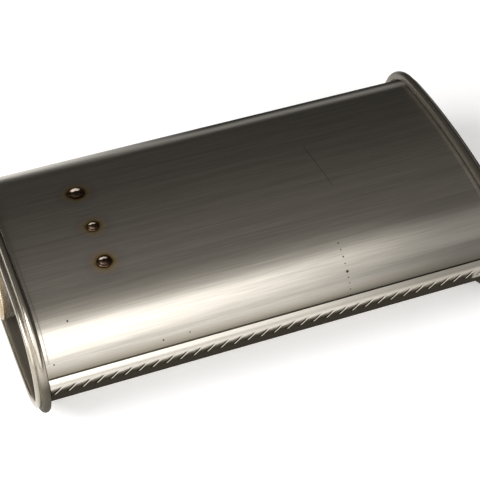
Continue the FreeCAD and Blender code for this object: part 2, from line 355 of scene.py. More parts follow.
bar_place = (first_mark, -centre_offset - face_radius - bar_lift, mark_middle)
bpy.ops.transform.translate(value=bar_place)
bpy.ops.object.mode_set(mode="OBJECT")
row = marks.modifiers.new("Row", "ARRAY")
row.count = mark_count
row.use_relative_offset = False
row.use_constant_offset = True
row.constant_offset_displace = (mark_pitch, 0, 0)
bpy.ops.object.modifier_apply(modifier=row.name)

only(seam)
cut = seam.modifiers.new("Marks", "BOOLEAN")
cut.object = marks
cut.operation = "DIFFERENCE"
cut.solver = "EXACT"
bpy.ops.object.modifier_apply(modifier=cut.name)
bpy.data.objects.remove(marks)
print("seam with marks:", len(seam.data.polygons), "faces")


# %% Put the seam on the shell
def join_pieces(piece, other):
    """Makes a second object part of a piece."""
    bpy.ops.object.select_all(action="DESELECT")
    other.select_set(True)
    piece.select_set(True)
    bpy.context.view_layer.objects.active = piece
    bpy.ops.object.join()


join_pieces(seam, hook)
finish_piece(seam, "shell_steel", "outer_shell")
finish_piece(shell, "shell_steel", "outer_shell")

# %% [markdown]
# ## The end caps
#
# A cap is stamped from one sheet: a flat face, a wall that comes forward, a small
# outer ridge, and a large ridge that is rolled down over the shell's flange. The
# rim's line is carried round the oval and the neck's line round the pipe. Fill then
# closes the flat face between the two rings and leaves the neck open. A torus for
# each ridge would look much the same from far off, but the one line keeps the
# sheet's thickness in every bend, as the press does. The outlet's cap is a
# mirrored copy.

# %% Sizes of the pipes
pipe_offset = 19 * MM
bore_radius = 31.85 * MM
pipe_wall = 1.5 * MM
slip_gap = 0.1 * MM
pipe_radius = bore_radius + pipe_wall
neck_radius = pipe_radius + slip_gap + cap_sheet
neck_mouth = half_length + 9.8 * MM
pipe_end = half_length + 18 * MM
pipe_inner_end = half_length - 23 * MM
print("stubs of", round((pipe_end - pipe_inner_end) / MM), "mm")

# %% Rim of the inlet cap
rim_wall = -(shell_sheet + slip_gap + cap_sheet / 2)
cap_face = -3.0 * MM
rim_strip = 5 * MM
rim_corners = [
    (0.65 * MM, 1.1 * MM),
    (0.65 * MM, 6.32 * MM),
    (5.75 * MM, 6.32 * MM),
    (5.75 * MM, 0.95 * MM),
    (9.55 * MM, 1.75 * MM),
    (9.55 * MM, rim_wall),
    (cap_face, rim_wall),
    (cap_face, rim_wall - rim_strip),
]
cap_line = [rim_point(u, height) for u, height in rim_corners]
rim_bends = [2.54 * MM, 2.54 * MM, 1.0 * MM, 1.75 * MM, 1.75 * MM, 3.0 * MM]
cap = bent_line("inlet_cap", cap_line, rim_bends, segments=8)
sweep_round_oval()
bpy.ops.object.mode_set(mode="OBJECT")
print("rim:", len(cap.data.polygons), "faces")


# %% Neck of the inlet cap
def sweep_round_pipe(steps=128):
    """Spins the selected line once round the pipes' axis."""
    spin_on((0, pipe_offset, 0), 2 * math.pi, steps)
    merge_near(0.005 * MM)


neck_middle = neck_radius - cap_sheet / 2
neck_strip = 7 * MM
face_x = -half_length - cap_face
neck_corners = [
    (face_x, pipe_offset, neck_middle + neck_strip),
    (face_x, pipe_offset, neck_middle),
    (-neck_mouth, pipe_offset, neck_middle),
]
neck = bent_line("neck", neck_corners, [5 * MM], segments=8)
sweep_round_pipe()
bpy.ops.object.mode_set(mode="OBJECT")
print("neck:", len(neck.data.polygons), "faces")


# %% Join rim and neck with the cap's face
def fill_between_rings(piece, x):
    """Closes the face between an outer and an inner ring that lie in one plane."""
    bpy.ops.mesh.select_all(action="DESELECT")
    mesh = bmesh.from_edit_mesh(piece.data)
    for edge in mesh.edges:
        if edge.is_boundary and all(abs(v.co.x - x) < 0.1 * MM for v in edge.verts):
            edge.select = True
    bmesh.update_edit_mesh(piece.data)
    bpy.ops.mesh.fill()


join_pieces(cap, neck)
bpy.ops.object.mode_set(mode="EDIT")
fill_between_rings(cap, face_x)
solidify(cap, cap_sheet)
print("cap:", len(cap.data.polygons), "faces")


# %% The same cap at the outlet end
def other_end(piece, name):
    """A mirrored copy of an inlet piece, for the outlet end."""
    only(piece)
    bpy.ops.object.duplicate()
    copy = bpy.context.object
    copy.name = name
    bpy.ops.object.mode_set(mode="EDIT")
    bpy.ops.mesh.select_all(action="SELECT")
    bpy.ops.transform.resize(value=(-1, 1, 1), center_override=(0, 0, 0))
    bpy.ops.mesh.flip_normals()
    bpy.ops.object.mode_set(mode="OBJECT")
    return copy


outlet_cap = other_end(cap, "outlet_cap")
finish_piece(cap, "cap_steel", "inlet_end_cap")
finish_piece(outlet_cap, "cap_steel", "outlet_end_cap")

# %% [markdown]
# ## The pipe stubs
#
# A stub is a plain length of tube with a deburred mouth. It starts as an open
# cylinder, gets its wall with Solidify and its rounded edges with Bevel. A drawn
# and spun line would give the same tube, with more steps.

# %% Model the inlet stub
bpy.ops.object.select_all(action="DESELECT")
bpy.ops.mesh.primitive_cylinder_add(
    vertices=128,
    radius=pipe_radius,
    depth=pipe_end - pipe_inner_end,
    end_fill_type="NOTHING",
    location=(-(pipe_end + pipe_inner_end) / 2, pipe_offset, 0),
    rotation=(0, math.pi / 2, 0),
)
stub = bpy.context.object
stub.name = "inlet_stub"
bpy.ops.object.transform_apply()
bpy.ops.object.mode_set(mode="EDIT")
solidify(stub, pipe_wall, offset=-1.0)
deburred = stub.modifiers.new("Deburred", "BEVEL")
deburred.width = 0.35 * MM
deburred.segments = 3
deburred.angle_limit = math.radians(60)
bpy.ops.object.modifier_apply(modifier=deburred.name)
outlet_stub = other_end(stub, "outlet_stub")
finish_piece(stub, "pipe_steel", "inlet_pipe")
finish_piece(outlet_stub, "pipe_steel", "outlet_pipe")

# %% [markdown]
# ## The neck welds
#
# The bead that closes a neck is a row of frozen puddles, each lying a little over
# the one before. One puddle is modelled from a sphere, flattened and tilted, and
# spin duplicates it round the pipe. A smooth ring with a bumpy finish would be
# lighter, but its outline would stay round where a real bead is scalloped.

# %% Model the inlet neck weld
puddles = 64
puddle_size = (1.75 * MM, 2.6 * MM, 1.15 * MM)
puddle_place = (-neck_mouth - 0.8 * MM, pipe_offset, pipe_radius + 0.55 * MM)
overlap_tilt = math.radians(16)
neck_lean = math.radians(-38)
bpy.ops.object.select_all(action="DESELECT")
bpy.ops.mesh.primitive_uv_sphere_add(
    segments=16, ring_count=10, radius=1, location=(0, 0, 0)
)
bead = bpy.context.object
bead.name = "inlet_bead"
bpy.ops.object.mode_set(mode="EDIT")
bpy.ops.mesh.select_all(action="SELECT")
bpy.ops.transform.resize(value=puddle_size, center_override=(0, 0, 0))
for turn, axis in [(overlap_tilt, "X"), (neck_lean, "Y")]:
    bpy.ops.transform.rotate(value=turn, orient_axis=axis, center_override=(0, 0, 0))
bpy.ops.transform.translate(value=puddle_place)
bpy.ops.mesh.spin(
    steps=puddles - 1,
    dupli=True,
    angle=2 * math.pi * (puddles - 1) / puddles,
    center=(0, pipe_offset, 0),
    axis=(1, 0, 0),
)
bpy.ops.object.mode_set(mode="OBJECT")
outlet_bead = other_end(bead, "outlet_bead")
finish_piece(bead, "weld_metal", "inlet_neck_weld")
finish_piece(outlet_bead, "weld_metal", "outlet_neck_weld")

# %% [markdown]
# ## The plug welds
#
# Three nuggets hold the inlet baffle to the shell. Each is a puddle that has run
# out into a low ring with a round crown inside. The section is drawn as a line
# and spun round the nugget's own upright axis. No two welds are alike, so each
# has its own width and height, and a small random shake, which a flattened sphere
# would not show as well. The outline counts its distances from the axis in widths,
# and its heights in heights of the nugget.


# %% Model the nuggets
nugget_shake = 0.14 * MM


def subdivide(piece):
    """Leaves edit mode and smooths a piece by one subdivision."""
    bpy.ops.object.mode_set(mode="OBJECT")
    only(piece)
    smooth = piece.modifiers.new("Smooth", "SUBSURF")
    smooth.levels = 1
    smooth.render_levels = 1
    bpy.ops.object.modifier_apply(modifier=smooth.name)


def surface_height(across):
    """Height of the shell's top at a place across the body."""
    return flat_centre + math.sqrt(flat_radius**2 - across**2)


def plug_weld(name, along, across, button, height, seed):
    """A weld nugget on the top of the shell: a ring, a groove and a crown."""
    centre = Vector((along, across, surface_height(across)))
    outline = [
        (0.5, -0.25),
        (0.48, 0.1),
        (0.43, 0.28),
        (0.38, 0.28),
        (0.34, 0.42),
        (0.27, 0.78),
        (0.18, 0.97),
        (0.09, 0.95),
        (0.0, 0.88),
    ]
    corners = [centre + Vector((button * r, 0, height * h)) for r, h in outline]
    nugget = draw_line(name, corners)
    bpy.ops.mesh.select_all(action="SELECT")
    bpy.ops.mesh.spin(steps=40, angle=2 * math.pi, center=centre, axis=(0, 0, 1))
    merge_near(0.01 * MM)
    bpy.ops.mesh.select_all(action="DESELECT")
    bpy.ops.mesh.select_non_manifold()
    bpy.ops.mesh.fill()
    bpy.ops.mesh.select_all(action="SELECT")
    bpy.ops.mesh.normals_make_consistent(inside=False)
    bpy.ops.transform.vertex_random(offset=nugget_shake, uniform=0.5, normal=0.5, seed=seed)
    subdivide(nugget)
    return nugget


# Place along and across the body, width and height in millimetres, and the seed
nuggets = {
    "plug_weld_far": (-114.2, 34.6, 13.0, 1.1, 3),
    "plug_weld_middle": (-112.8, -5.6, 9.6, 1.7, 5),
    "plug_weld_near": (-115.1, -41.5, 11.2, 1.9, 8),
}
nugget_pieces = []
for node, (*sizes, seed) in nuggets.items():
    name = node.replace("plug_weld", "nugget")
    nugget = plug_weld(name, *[size * MM for size in sizes], seed)
    finish_piece(nugget, "weld_metal", node)
    nugget_pieces.append(nugget)

# %% [markdown]
# ## Wool and packing
#
# Between the baffles the core wears a sleeve of steel wool, and glass fibre fills
# the rest of the shell. Both are soft, so they are modelled again here: their lines
# have a point every few millimetres, and a small random shake of all points and one
# subdivision make the surface lumpy. Hair or cloth could be simulated instead, but
# all that shows of them is what lies behind the slots of the core.


# %% Model the steel wool
packing_half = 104.7 * MM
core_radius = 34.65 * MM
wool_radius = core_radius + 6.3 * MM
soft_gap = 0.3 * MM
soft_shake = 0.25 * MM
shake_room = 0.3 * MM
half_steps = 13
soft_places = [packing_half * (step / half_steps - 1) for step in range(2 * half_steps + 1)]


def lengthwise(across, up):
    """The corners of a line along the body, from one end of the packing to the other."""
    return [(x, across, up) for x in soft_places]


def matted(piece, seed):
    """Makes a soft piece's surface uneven."""
    bpy.ops.mesh.select_all(action="SELECT")
    bpy.ops.mesh.normals_make_consistent(inside=False)
    bpy.ops.transform.vertex_random(offset=soft_shake, uniform=0.6, normal=0.4, seed=seed)
    subdivide(piece)


inner_line = lengthwise(pipe_offset, core_radius + soft_gap + soft_shake)
outer_line = lengthwise(pipe_offset, wool_radius - shake_room)
wool = draw_line("wool_sleeve", inner_line + outer_line[::-1] + inner_line[:1])
merge_near(0.005 * MM)
sweep_round_pipe(steps=72)
matted(wool, seed=4)
finish_piece(wool, "steel_wool", "steel_wool_wrap")

# %% Model the glass-fibre packing
bore_line = lengthwise(pipe_offset, wool_radius + soft_gap + shake_room)
packing_bore = draw_line("packing_bore", bore_line)
bpy.ops.mesh.select_all(action="SELECT")
sweep_round_pipe(steps=72)
bpy.ops.object.mode_set(mode="OBJECT")
top_line = lengthwise(0, half_height - shell_sheet - soft_gap - shake_room)
packing = draw_line("fibre_packing", top_line)
bpy.ops.mesh.select_all(action="SELECT")
sweep_round_oval()
bpy.ops.object.mode_set(mode="OBJECT")
join_pieces(packing, packing_bore)
bpy.ops.object.mode_set(mode="EDIT")
for side in (-1, 1):
    fill_between_rings(packing, side * packing_half)
matted(packing, seed=6)
finish_piece(packing, "glass_fibre", "glass_fibre_packing")

# %% [markdown]
# ## Finish maths
#
# A finish is worked out as a sum of simple patterns. The class below wraps one
# socket of a node, so that masks and noises are added and multiplied with plain
# Python signs, and each sign adds its Math node. The nodes could be placed one by
# one in the editor, but a sum is easier to read and to change.


# %% One class for shader sums
class Shade:
    """A value in a material's nodes that can be used in sums."""

    def __init__(self, tree, socket=None):
        self.tree = tree
        self.socket = socket

    def node(self, kind, settings=None, inputs=None, output=0):
        """Adds a node: its settings first, then the values or links of its sockets."""
        made = self.tree.nodes.new(kind)
        for name, value in (settings or {}).items():
            if name == "stops":
                fill_ramp(made.color_ramp, value)
            else:
                setattr(made, name, value)
        for name, value in (inputs or {}).items():
            if isinstance(value, Shade):
                self.tree.links.new(value.socket, made.inputs[name])
            else:
                made.inputs[name].default_value = value
        return Shade(self.tree, made.outputs[output])

    def maths(self, operation, *values):
        values = dict(enumerate((self, *values)))
        return self.node("ShaderNodeMath", {"operation": operation}, values)

    def __add__(self, other):
        return self.maths("ADD", other)

    def __sub__(self, other):
        return self.maths("SUBTRACT", other)

    def __rsub__(self, other):
        return (self * -1.0) + other

    def __mul__(self, other):
        return self.maths("MULTIPLY", other)

    def __truediv__(self, other):
        return self.maths("DIVIDE", other)

    def __pow__(self, other):
        return self.maths("POWER", other)

    __radd__ = __add__
    __rmul__ = __mul__

    def fade(self, start, end):
        """0 below start, 1 above end, and smooth between; start may be the larger."""
        settings = {"interpolation_type": "SMOOTHSTEP"}
        inputs = {"Value": self, "From Min": start, "From Max": end}
        return self.node("ShaderNodeMapRange", settings, inputs)

    def blend(self, first, second):
        """Mixes two colours by this value: the first at 0, the second at 1."""
        settings = {"data_type": "RGBA", "clamp_factor": True}
        inputs = {0: self, 6: first, 7: second}
        return self.node("ShaderNodeMix", settings, inputs, output=2)


def fill_ramp(ramp, stops):
    """Sets a colour ramp from a list of positions and colours."""
    while len(ramp.elements) < len(stops):
        ramp.elements.new(0.5)
    for element, (position, colour) in zip(ramp.elements, stops):
        element.position = position
        element.color = (*colour, 1)


# %% Start and close a material
def new_finish(name):
    """A material, its maths, its shader and the piece's own coordinates."""
    material = bpy.data.materials.new(name)
    material.use_nodes = True
    tree = material.node_tree
    shader = tree.nodes["Principled BSDF"]
    start = Shade(tree)
    place = start.node("ShaderNodeTexCoord", output=3)
    return material, shader, start, place


def feed(shader, name, value):
    """Links a shade to one of the shader's sockets, or sets a plain value."""
    if isinstance(value, Shade):
        value.tree.links.new(value.socket, shader.inputs[name])
    else:
        shader.inputs[name].default_value = value


def coordinates(start, place):
    """The piece's three coordinates, in millimetres."""
    return [
        start.node("ShaderNodeSeparateXYZ", {}, {0: place}, output=axis) / MM
        for axis in range(3)
    ]


def noise(start, place, scale, detail=2.0, roughness=0.5):
    """Noise stretched by a scale for each axis."""
    spread = start.node("ShaderNodeMapping", {}, {"Vector": place, "Scale": scale})
    inputs = {"Vector": spread, "Scale": 1.0, "Detail": detail, "Roughness": roughness}
    return start.node("ShaderNodeTexNoise", {}, inputs)


def add_painted_light(tone, painted_light):
    """Lays painted light and shade over a colour, one by one: mask, strength and colour."""
    for mask, strength, colour in painted_light:
        tone = (mask * strength).blend(tone, (*colour, 1))
    return tone


def dress(piece, material):
    """Gives a piece one material."""
    piece.data.materials.clear()
    piece.data.materials.append(material)


# %% [markdown]
# ## Brushed steel
#
# The sheet was brushed along the body's length. Its grain is therefore noise that
# is drawn out along X and very fine across it: short hairlines, longer scratches
# and soft broad bands, added up. The sum changes colour, roughness and a faint
# bump together, as real scratches do.


# %% Grain and plain steel
scratch_depth = 0.04 * MM


def shaded(colour, factor):
    """A colour made darker or lighter, with its alpha."""
    return (*[min(1.0, channel * factor) for channel in colour], 1)


def brushed(start, place, hair, scratch):
    """Grain round 0.5: hairlines, longer scratches and broad soft bands."""
    hairlines = noise(start, place, hair, 2.0)
    scratches = noise(start, place, scratch, 3.0, 0.6)
    bands = noise(start, place, tuple(scale / 5 for scale in scratch), 2.0)
    return hairlines * 0.4 + scratches * 0.35 + bands * 0.25


def steel(name, colour, roughness, hair, scratch, contrast=0.12, bump=0.12):
    """A steel finish, with its grain and its colour for later layers."""
    material, shader, start, place = new_finish(name)
    grain = brushed(start, place, hair, scratch)
    dark, light = shaded(colour, 1 - contrast), shaded(colour, 1 + contrast)
    tone = grain.fade(0.3, 0.7).blend(dark, light)
    height = noise(start, place, hair, 1.0)
    inputs = {"Height": height, "Strength": bump, "Distance": scratch_depth}
    relief = start.node("ShaderNodeBump", {}, inputs)
    feed(shader, "Metallic", 1.0)
    feed(shader, "Base Color", tone)
    feed(shader, "Roughness", (grain - 0.5) * 0.3 + roughness)
    feed(shader, "Normal", relief)
    return material, shader, start, place, tone


# %% [markdown]
# ## Heat tint
#
# Steel that has been near a weld keeps thin oxide colours: dark brown at the bead,
# then amber, and further out a faint violet and blue. A tint is a ramp of colours
# over the distance from the weld, wavy because the heat did not spread evenly. It
# multiplies the steel's own colour, so far from the weld it is white.


# %% Tint round a weld
def millimetres_from(start, place, centre, axes=(1, 1, 1)):
    """Distance from a point; an axis with 0 is left out of it."""
    kind = "ShaderNodeVectorMath"
    scale = tuple(axis / MM for axis in axes)
    offset = start.node(kind, {"operation": "SUBTRACT"}, {0: place, 1: centre})
    offset = start.node(kind, {"operation": "MULTIPLY"}, {0: offset, 1: scale})
    return start.node(kind, {"operation": "LENGTH"}, {0: offset}, output=1)


def tinted(start, tone, amount, stops):
    """Multiplies a colour by a ramp of colours, read at an amount from 0 to 1."""
    ramp = start.node("ShaderNodeValToRGB", {"stops": stops}, {0: amount})
    settings = {"data_type": "RGBA", "blend_type": "MULTIPLY"}
    return start.node("ShaderNodeMix", settings, {0: 1.0, 6: tone, 7: ramp}, output=2)


# %% [markdown]
# ## The shell's finish
#
# On top of the brushed grain lie the tints round the three plug welds. The sheet
# is also painted olive above the seam, and dark towards the outlet, along the far
# edge and on the underside: painted shade, where the metal mirrors dark
# surroundings or lies in shadow. Each of these bands is a mask, made of fades over
# the piece's own coordinates, with a darker colour.
#
# Last come the small marks of a part that has been handled: a row of black specks
# down the near side and a long faint scratch. Each speck is a soft spot round its
# own point. An image could carry all this, but masks need no unwrapping and stay
# sharp at any distance.

# %% Shell finish with its tints
shell_steel = (0.60, 0.565, 0.505)
shell_material, shader, start, place, tone = steel(
    "brushed_shell",
    shell_steel,
    roughness=0.30,
    hair=(30, 1300, 1300),
    scratch=(7, 420, 420),
    contrast=0.17,
    bump=0.05,
)
tint_reach = 13
sway = noise(start, place, (150, 150, 150), 2.0)
halo = [
    (0.0, (0.10, 0.05, 0.02)),
    (0.05, (0.25, 0.13, 0.05)),
    (0.12, (0.85, 0.6, 0.32)),
    (0.28, (1.0, 0.93, 0.74)),
    (0.6, (0.97, 0.88, 0.95)),
    (0.8, (0.93, 0.98, 1.0)),
    (1.0, (1.0, 1.0, 1.0)),
]
for weld_x, weld_y, button, *_ in nuggets.values():
    weld = (weld_x * MM, weld_y * MM, surface_height(weld_y * MM))
    away = millimetres_from(start, place, weld)
    amount = (away + (sway - 0.5) * 2.5 - button / 2 + 0.5) / tint_reach
    tone = tinted(start, tone, amount, halo)
print("tints round", len(nuggets), "plug welds")

# %% Painted shade on the shell
along, across, up = coordinates(start, place)
near_side = across.fade(-60, -90)
# Painted shade: the near side is painted darker above the seam, olive nearest to it, where
# it mirrors the seam's shadow
seam_shade_wide = near_side * up.fade(19, 12) * up.fade(-22, -8)
seam_shade_close = near_side * up.fade(14, 7) * up.fade(-22, -8)
# Painted shade: the near side is painted darker towards the outlet, where it mirrors less
# of the soft light
shoulder_shade = along.fade(50, 150) * across.fade(-60, -74) * across.fade(-95, -88)
# Painted shade: a darker band just above the seam, growing towards the outlet
groove_shade = near_side * along.fade(-90, 60) * up.fade(13, 6) * up.fade(-22, -8)
# Painted shade: the round near side is painted darker towards the outlet as well
outlet_end = along.fade(-20, 165) * across.fade(-84, -103)
# Painted shade: the far edge is painted dark and less metallic, where it mirrors the dark
# back of the studio
far_edge_shade = across.fade(66, 80) * across.fade(90, 86) * along.fade(-170, 20)
# Painted shade: the underside below the seam is painted nearly black where it mirrors the
# shaded floor; the noise makes its border uneven
shade_noise = noise(start, place, (60, 500, 500), 3.0) - 0.5
underside_shade = near_side * (up + shade_noise * 4).fade(-3, -7) * (up + shade_noise * 6).fade(-43, -36)
painted_light = [
    (seam_shade_wide, 0.75, (0.30, 0.27, 0.22)),
    (seam_shade_close, 0.8, (0.17, 0.155, 0.115)),
    (shoulder_shade, 0.5, (0.10, 0.092, 0.08)),
    (groove_shade, 0.6, (0.09, 0.085, 0.065)),
    (outlet_end, 0.9, (0.085, 0.078, 0.066)),
    (far_edge_shade, 1.0, (0.035, 0.032, 0.027)),
    (underside_shade, 1.0, (0.034, 0.029, 0.022)),
    (underside_shade * up.fade(-22, -27), 1.0, (0.004, 0.004, 0.003)),
]
tone = add_painted_light(tone, painted_light)
print(len(painted_light), "stains on the shell")

# %% Specks and the long scratch
# Each speck: its place and its radius, in millimetres
specks = [
    (55.4, -94.7, 25.9, 1.5),
    (54.4, -77.8, 40.1, 0.8),
    (54.6, -82.5, 37.5, 0.75),
    (54.9, -87.0, 34.3, 0.9),
    (55.0, -90.8, 30.7, 0.75),
    (55.4, -97.2, 22.0, 0.75),
    (55.7, -99.5, 18.0, 0.8),
    (55.9, -101.2, 13.0, 0.75),
    (56.1, -102.3, 7.6, 0.8),
    (-154.9, -80.8, 38.5, 1.0),
    (-90.8, -100.8, 13.9, 1.0),
    (-70.5, -100.6, 14.4, 0.8),
    (-171.6, -99.2, 17.9, 0.9),
]
dirt = sum(
    millimetres_from(start, place, (x * MM, y * MM, z * MM)).fade(size, size * 0.4)
    for x, y, z, size in specks
)
turned = {"Vector": place, "Rotation": (0, 0, math.radians(-4.8))}
leaning = start.node("ShaderNodeMapping", {}, turned)
line = millimetres_from(start, leaning, (69.3 * MM, 0, 0), (1, 0, 0)).fade(0.5, 0.1)
reach = millimetres_from(start, place, (69.5 * MM, -1 * MM, 48 * MM)).fade(27, 22)
dirt = dirt + line * reach * 0.45
feed(shader, "Base Color", dirt.blend(tone, (0.03, 0.028, 0.025, 1)))
feed(shader, "Metallic", 1 - (underside_shade + far_edge_shade * 0.95))
feed(shader, "Roughness", underside_shade * 0.4 + 0.3)
feed(shader, "Specular IOR Level", 0.0)
print(len(specks), "specks and a scratch on the shell")

# %% [markdown]
# ## The seam's finish
#
# The seam's face is painted dark and made dull: painted shade for the dark ground
# below that it mirrors, lighter at the top and darker towards the foot. The
# rounded fold above it is as bright as the shell. Both are one piece, so the
# height tells them apart: the face lies below the middle of the round side.
#
# The marks repeat, so one sum gives each point's place within its own mark, from 0
# to 1, with the marks' pitch and slant. From it the border of the painted shade on
# the face gets its teeth, and each mark gets a painted shadow along one wall and a
# painted highlight along its edge.

# %% Seam finish
seam_material, shader, start, place, tone = steel(
    "knurled_seam",
    shell_steel,
    roughness=0.30,
    hair=(70, 2200, 2200),
    scratch=(12, 600, 600),
    contrast=0.09,
    bump=0.05,
)
along, across, up = coordinates(start, place)
# Noise for the uneven borders of the painted shade on the seam
shade_noise = noise(start, place, (500, 500, 500), 3.0) - 0.5
lean = 1 / math.tan(mark_slant)
straightened = along - (up - mark_middle / MM) * lean - first_mark / MM
tooth = (straightened / (mark_pitch / MM)).maths("FRACT")
marked = up.fade(-5.0, -4.2) * up.fade(1.3, 0.3)
# Painted shadow along one wall of each mark, and a painted highlight along its edge
mark_shadow = tooth.fade(0.79, 0.85) * tooth.fade(1.0, 0.95) * marked
painted_glint = tooth.fade(0.0, 0.02) * tooth.fade(0.15, 0.09) * marked
# Painted shade: the seam's foot is painted nearly black
foot = (up + shade_noise * 0.8).fade(-7.5, -8.5)

# %% Painted shade on the seam's face
outlet_end = along.fade(155, 158)
# Painted shade: the face below the fold is painted dark, lighter at the top and darker
# below, toothed along the marks and fainter at the outlet end
face_shade = (up - tooth * 1.6 + shade_noise * 1.6).fade(1.3, -1.0) * (1 - outlet_end * 0.7)
face_shade_falloff = (up + shade_noise * 2).fade(1.0, -2.6)
face = face_shade_falloff.blend((0.17, 0.15, 0.12, 1), (0.03, 0.026, 0.019, 1))
# Painted shade: the seam is painted darker towards the outlet, as the shell is
tone = add_painted_light(tone, [(along.fade(20, 150), 0.5, (0.20, 0.18, 0.14))])
tone = face_shade.blend(tone, face)
painted_light = [
    (mark_shadow, 0.9, (0.008, 0.007, 0.005)),
    (painted_glint, 0.8, (0.62, 0.58, 0.50)),
    (foot, 1.0, (0.01, 0.009, 0.007)),
]
dull = (face_shade * (1 - painted_glint) + foot).fade(0.0, 1.0)
feed(shader, "Base Color", add_painted_light(tone, painted_light))
feed(shader, "Metallic", 1 - dull * 0.9)
feed(shader, "Roughness", dull * 0.25 + 0.3)
feed(shader, "Specular IOR Level", 0.0)
print("the seam's finish has", len(seam_material.node_tree.nodes), "nodes")

# %% [markdown]
# ## Caps, pipes and welds
#
# The caps are of the same steel, drawn and rolled instead of brushed, so their
# grain runs round the rim and their colour is a shade browner. Their lower half,
# the near side of their large ridge and the top of the outlet's rim are painted
# dark, as painted shade. The pipes carry the amber tint of the neck weld, the beads
# are straw-coloured, and the nuggets are dark brown with a painted highlight each,
# a bright arc on the far side.

# %% Tint round the necks
neck_tint = [
    (0.0, (0.42, 0.28, 0.16)),
    (0.15, (0.92, 0.75, 0.48)),
    (0.35, (1.0, 0.93, 0.76)),
    (0.6, (0.95, 0.90, 0.94)),
    (1.0, (1.0, 1.0, 1.0)),
]


def tint_both_ends(start, place, tone, reach):
    """Tints a finish round both neck welds."""
    for side in (-1, 1):
        away = millimetres_from(start, place, (side * neck_mouth, 0, 0), (1, 0, 0))
        from_axis = millimetres_from(start, place, (0, pipe_offset, 0), (0, 1, 1))
        outward = from_axis - pipe_radius / MM
        amount = (away * away + outward * outward) ** 0.5 / reach
        tone = tinted(start, tone, amount, neck_tint)
    return tone


# %% Caps
cap_material, shader, start, place, tone = steel(
    "drawn_cap",
    (0.40, 0.365, 0.305),
    roughness=0.27,
    hair=(1500, 90, 90),
    scratch=(700, 20, 20),
    contrast=0.07,
    bump=0.03,
)
along, across, up = coordinates(start, place)
large_ridge = along.maths("ABSOLUTE").fade(187.5, 184)
from_hub = millimetres_from(start, place, (0, -centre_offset, 0), (0, 1, 1))
# Painted shade: the caps are painted dark on their lower half, on the near side of the
# large ridge and on top of the outlet's rim
shaded_low = up.fade(0, -26) * large_ridge
ridge_shade = from_hub.fade(45.5, 47.5) * across.fade(-50, -62) * large_ridge * up.fade(24, 4)
outlet_rim_shade = along.fade(176, 179) * up.fade(5, 30)
painted_light = [
    (shaded_low, 0.92, (0.055, 0.048, 0.035)),
    (ridge_shade, 0.9, (0.05, 0.044, 0.03)),
    (outlet_rim_shade, 0.9, (0.035, 0.030, 0.022)),
]
tone = tint_both_ends(start, place, tone, reach=5)
feed(shader, "Base Color", add_painted_light(tone, painted_light))
feed(shader, "Metallic", 1 - (shaded_low.maths("MAXIMUM", ridge_shade) * 0.8 + outlet_rim_shade * 0.4))
feed(shader, "Specular IOR Level", 0.0)
print("the caps' finish has", len(cap_material.node_tree.nodes), "nodes")

# %% Pipes
pipe_material, shader, start, place, tone = steel(
    "drawn_pipe",
    (0.58, 0.53, 0.46),
    roughness=0.28,
    hair=(60, 1500, 1500),
    scratch=(14, 500, 500),
)
feed(shader, "Base Color", tint_both_ends(start, place, tone, reach=14))
print("the pipes' finish has", len(pipe_material.node_tree.nodes), "nodes")

# %% Welds
rough_metal = {
    "hair": (900, 900, 900),
    "scratch": (350, 350, 350),
    "contrast": 0.5,
    "bump": 0.5,
}
weld_material, *_ = steel("weld_bead", (0.50, 0.43, 0.34), roughness=0.32, **rough_metal)
nugget_material, shader, start, place, tone = steel(
    "nugget_steel", (0.075, 0.05, 0.034), roughness=0.35, **rough_metal
)


def painted_highlight(weld_x, weld_y, button):
    """A painted highlight on a nugget's far side: one soft disc, less another beside it."""
    disc = (weld_x * MM, (weld_y + 0.22 * button) * MM, 0)
    bite = (weld_x * MM, (weld_y - 0.05 * button) * MM, 0)
    lit = millimetres_from(start, place, disc, (0.6, 1, 0))
    left = millimetres_from(start, place, bite, (1, 1, 0))
    return lit.fade(0.21 * button, 0.12 * button) * left.fade(0.14 * button, 0.22 * button)


# Painted highlight: a bright, less metallic arc on each nugget
painted_highlights = sum(painted_highlight(*weld[:3]) for weld in nuggets.values())
feed(shader, "Base Color", painted_highlights.blend(tone, (0.85, 0.72, 0.6, 1)))
feed(shader, "Metallic", 1 - painted_highlights * 0.8)
print("the nuggets' finish has", len(nugget_material.node_tree.nodes), "nodes")

# %% [markdown]
# ## The inside
#
# Baffles and core are plain sheet as it comes from the mill. Steel wool is a mat of
# fine curls, and glass fibre a yellowish felt. Both could be grown as hair, but a
# strong noise in colour and bump is enough for what shows through the slots.

# %% Inner steel, wool and fibre
inner_material, *_ = steel(
    "mill_steel",
    (0.42, 0.4, 0.37),
    roughness=0.42,
    hair=(90, 700, 700),
    scratch=(30, 200, 200),
    contrast=0.2,
)
wool_material, *_ = steel(
    "steel_wool",
    (0.36, 0.36, 0.35),
    roughness=0.5,
    hair=(2500, 500, 2500),
    scratch=(500, 2500, 900),
    contrast=0.8,
    bump=1.0,
)
fibre_material, shader, *_ = steel(
    "glass_fibre",
    (0.8, 0.75, 0.6),
    roughness=0.9,
    hair=(1200, 400, 400),
    scratch=(400, 1200, 1200),
    contrast=0.25,
    bump=1.0,
)
feed(shader, "Metallic", 0.0)
print(len(bpy.data.materials), "materials so far")

# %% [markdown]
# ## Dress the pieces
#
# Every piece gets one material, and so do the CAD's own solids that stay in view:
# the baffles, the core and its tack welds. A list of finishes with their pieces
# shows at a glance that none has been left bare.

